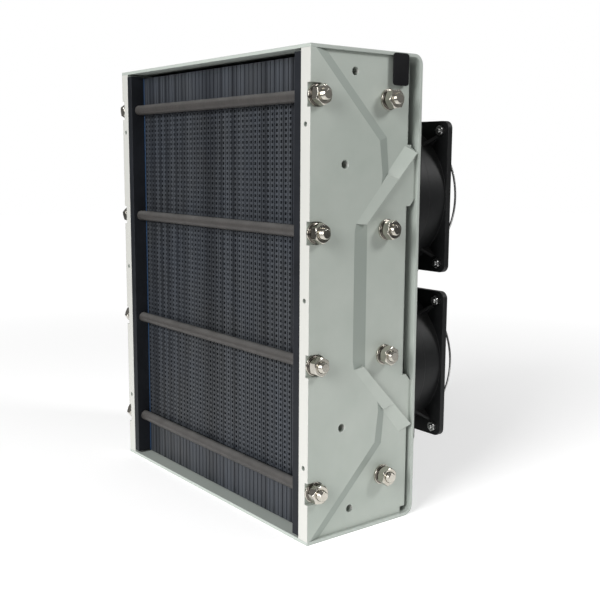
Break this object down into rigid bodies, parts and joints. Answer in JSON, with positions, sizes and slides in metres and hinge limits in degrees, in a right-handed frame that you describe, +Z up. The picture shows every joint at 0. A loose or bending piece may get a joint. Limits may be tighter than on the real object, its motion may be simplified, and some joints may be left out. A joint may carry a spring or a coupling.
{
  "type": "fuel cell stack",
  "caption": "Air-cooled fuel cell stack: upright cells clamped between relief end plates by tie rods, in a folded metal shroud with axial fans on its back.",
  "frame": {"origin": "middle of the shroud's flat base, halfway between the open front and the rear sheet", "axes": "+X along the stack of cells to the end plate seen at the right, +Y from the open front to the fans, +Z up"},
  "size_m": [0.305, 0.1563, 0.357],
  "materials": {
    "relief_plate": "machined and clear passivated",
    "shroud_sheet": "folded sheet, light grey-green, satin",
    "insulator": "black moulded laminate",
    "collector": "plated sheet",
    "cap": "black moulded",
    "graphite": "dark grey-blue moulded graphite",
    "membrane": "dark gasket edge",
    "sleeve": "dark grey shrink sleeve",
    "nickel": "bright nickel plate",
    "screw": "zinc plated",
    "fan_black": "black satin moulding",
    "gasket": "black foam",
    "steel": "ground steel",
    "lamination": "laminated iron with windings",
    "guard_wire": "plated wire",
    "fitting": "nickel plated brass"
  },
  "bodies": {
    "stack": {"end_plate_right": "relief_plate", "end_plate_left": "relief_plate", "insulator_plate_right": "insulator", "insulator_plate_left": "insulator", "current_collector_right": "collector", "current_collector_left": "collector", "terminal_cap_right": "cap", "terminal_cap_left": "cap", "bipolar_plates": "graphite", "membrane_frames": "membrane", "tie_rods": "nickel", "front_rod_sleeves": "sleeve", "rear_rod_sleeves": "sleeve", "flat_washers": "nickel", "disc_springs": "nickel", "tie_rod_nuts": "nickel", "shroud": "shroud_sheet", "shroud_screws": "screw", "hydrogen_inlet_fitting": "fitting", "hydrogen_outlet_fitting": "fitting", "guard_screws": "screw", "guard_nuts": "screw", "fan_mount_screws": "screw", "fan_mount_nuts": "screw", "fan_gasket_upper_right": "gasket", "fan_housing_upper_right": "fan_black", "fan_stator_upper_right": "lamination", "fan_bearings_upper_right": "steel", "finger_guard_upper_right": "guard_wire", "fan_gasket_upper_left": "gasket", "fan_housing_upper_left": "fan_black", "fan_stator_upper_left": "lamination", "fan_bearings_upper_left": "steel", "finger_guard_upper_left": "guard_wire", "fan_gasket_lower_right": "gasket", "fan_housing_lower_right": "fan_black", "fan_stator_lower_right": "lamination", "fan_bearings_lower_right": "steel", "finger_guard_lower_right": "guard_wire", "fan_gasket_lower_left": "gasket", "fan_housing_lower_left": "fan_black", "fan_stator_lower_left": "lamination", "fan_bearings_lower_left": "steel", "finger_guard_lower_left": "guard_wire"},
    "upper_right_rotor": {"fan_rotor_upper_right": "fan_black", "fan_shaft_upper_right": "steel"},
    "upper_left_rotor": {"fan_rotor_upper_left": "fan_black", "fan_shaft_upper_left": "steel"},
    "lower_right_rotor": {"fan_rotor_lower_right": "fan_black", "fan_shaft_lower_right": "steel"},
    "lower_left_rotor": {"fan_rotor_lower_left": "fan_black", "fan_shaft_lower_left": "steel"}
  },
  "joints": [
    {"name": "upper_right_fan_spin", "type": "hinge", "parent": "stack", "child": "upper_right_rotor", "pos_m": [0.0711, 0.0742, 0.2503], "axis": [0, 1, 0], "continuous": true},
    {"name": "upper_left_fan_spin", "type": "hinge", "parent": "stack", "child": "upper_left_rotor", "pos_m": [-0.0711, 0.0742, 0.2503], "axis": [0, 1, 0], "continuous": true},
    {"name": "lower_right_fan_spin", "type": "hinge", "parent": "stack", "child": "lower_right_rotor", "pos_m": [0.0711, 0.0742, 0.1147], "axis": [0, 1, 0], "continuous": true},
    {"name": "lower_left_fan_spin", "type": "hinge", "parent": "stack", "child": "lower_left_rotor", "pos_m": [-0.0711, 0.0742, 0.1147], "axis": [0, 1, 0], "continuous": true}
  ]
}
